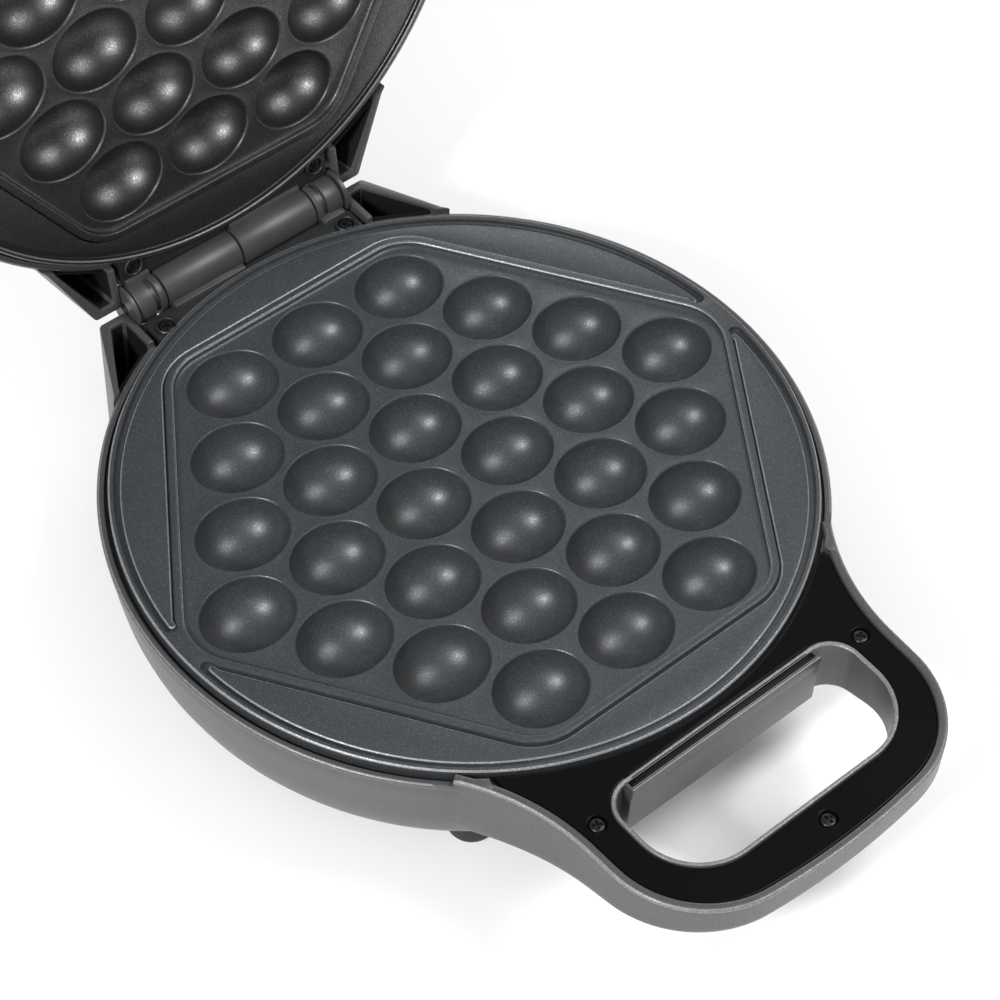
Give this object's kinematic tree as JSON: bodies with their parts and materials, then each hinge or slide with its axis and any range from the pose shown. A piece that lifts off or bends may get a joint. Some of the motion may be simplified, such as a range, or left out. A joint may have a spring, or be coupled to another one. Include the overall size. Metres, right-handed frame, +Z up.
{
  "type": "bubble waffle maker",
  "caption": "Round hinged bubble waffle maker, lid open: two cast plates with oval cavities in a raised hexagon, grey housings and two loop handles.",
  "frame": {"origin": "on the table, under the middle of the open appliance's bounding box", "axes": "+Z up, +Y from the handle towards the hinge, +X to the right seen from the handle"},
  "size_m": [0.202, 0.33, 0.3071],
  "materials": {
    "housing": "satin metallic gunmetal grey",
    "cooking_plate": "cast, with a dark sparkling non-stick coat",
    "handle_trim": "semi-gloss black",
    "screw": "blackened",
    "element": "heat-tinted tube",
    "shield": "bright sheet",
    "thermostat": "dark phenolic",
    "fuse": "plain",
    "terminal": "off-white",
    "gland": "matt black",
    "pin": "plain",
    "foot": "matt dark grey",
    "red_lamp": "red lens",
    "green_lamp": "green lens"
  },
  "bodies": {
    "base": {"base_housing": "housing", "base_plate": "cooking_plate", "base_handle_trim": "handle_trim", "base_trim_screws": "screw", "base_hinge_screws": "screw", "base_case_screws": "screw", "base_heating_element": "element", "base_heat_shield": "shield", "base_thermostat": "thermostat", "thermal_fuse": "fuse", "fuse_clip": "shield", "terminal_block": "terminal", "cord_gland": "gland", "hinge_pin": "pin", "front_left_foot": "foot", "front_right_foot": "foot", "rear_left_foot": "foot", "rear_right_foot": "foot"},
    "lid": {"lid_housing": "housing", "lid_plate": "cooking_plate", "lid_handle_trim": "handle_trim", "lid_trim_screws": "screw", "lid_hinge_screws": "screw", "lid_case_screws": "screw", "lid_heating_element": "element", "lid_heat_shield": "shield", "lid_thermostat": "thermostat", "power_lamp": "red_lamp", "ready_lamp": "green_lamp"}
  },
  "joints": [
    {"name": "lid_hinge", "type": "hinge", "parent": "base", "child": "lid", "pos_m": [0, 0.09355, 0.052], "axis": [1, 0, 0], "range_deg": [0, 99.3]}
  ]
}
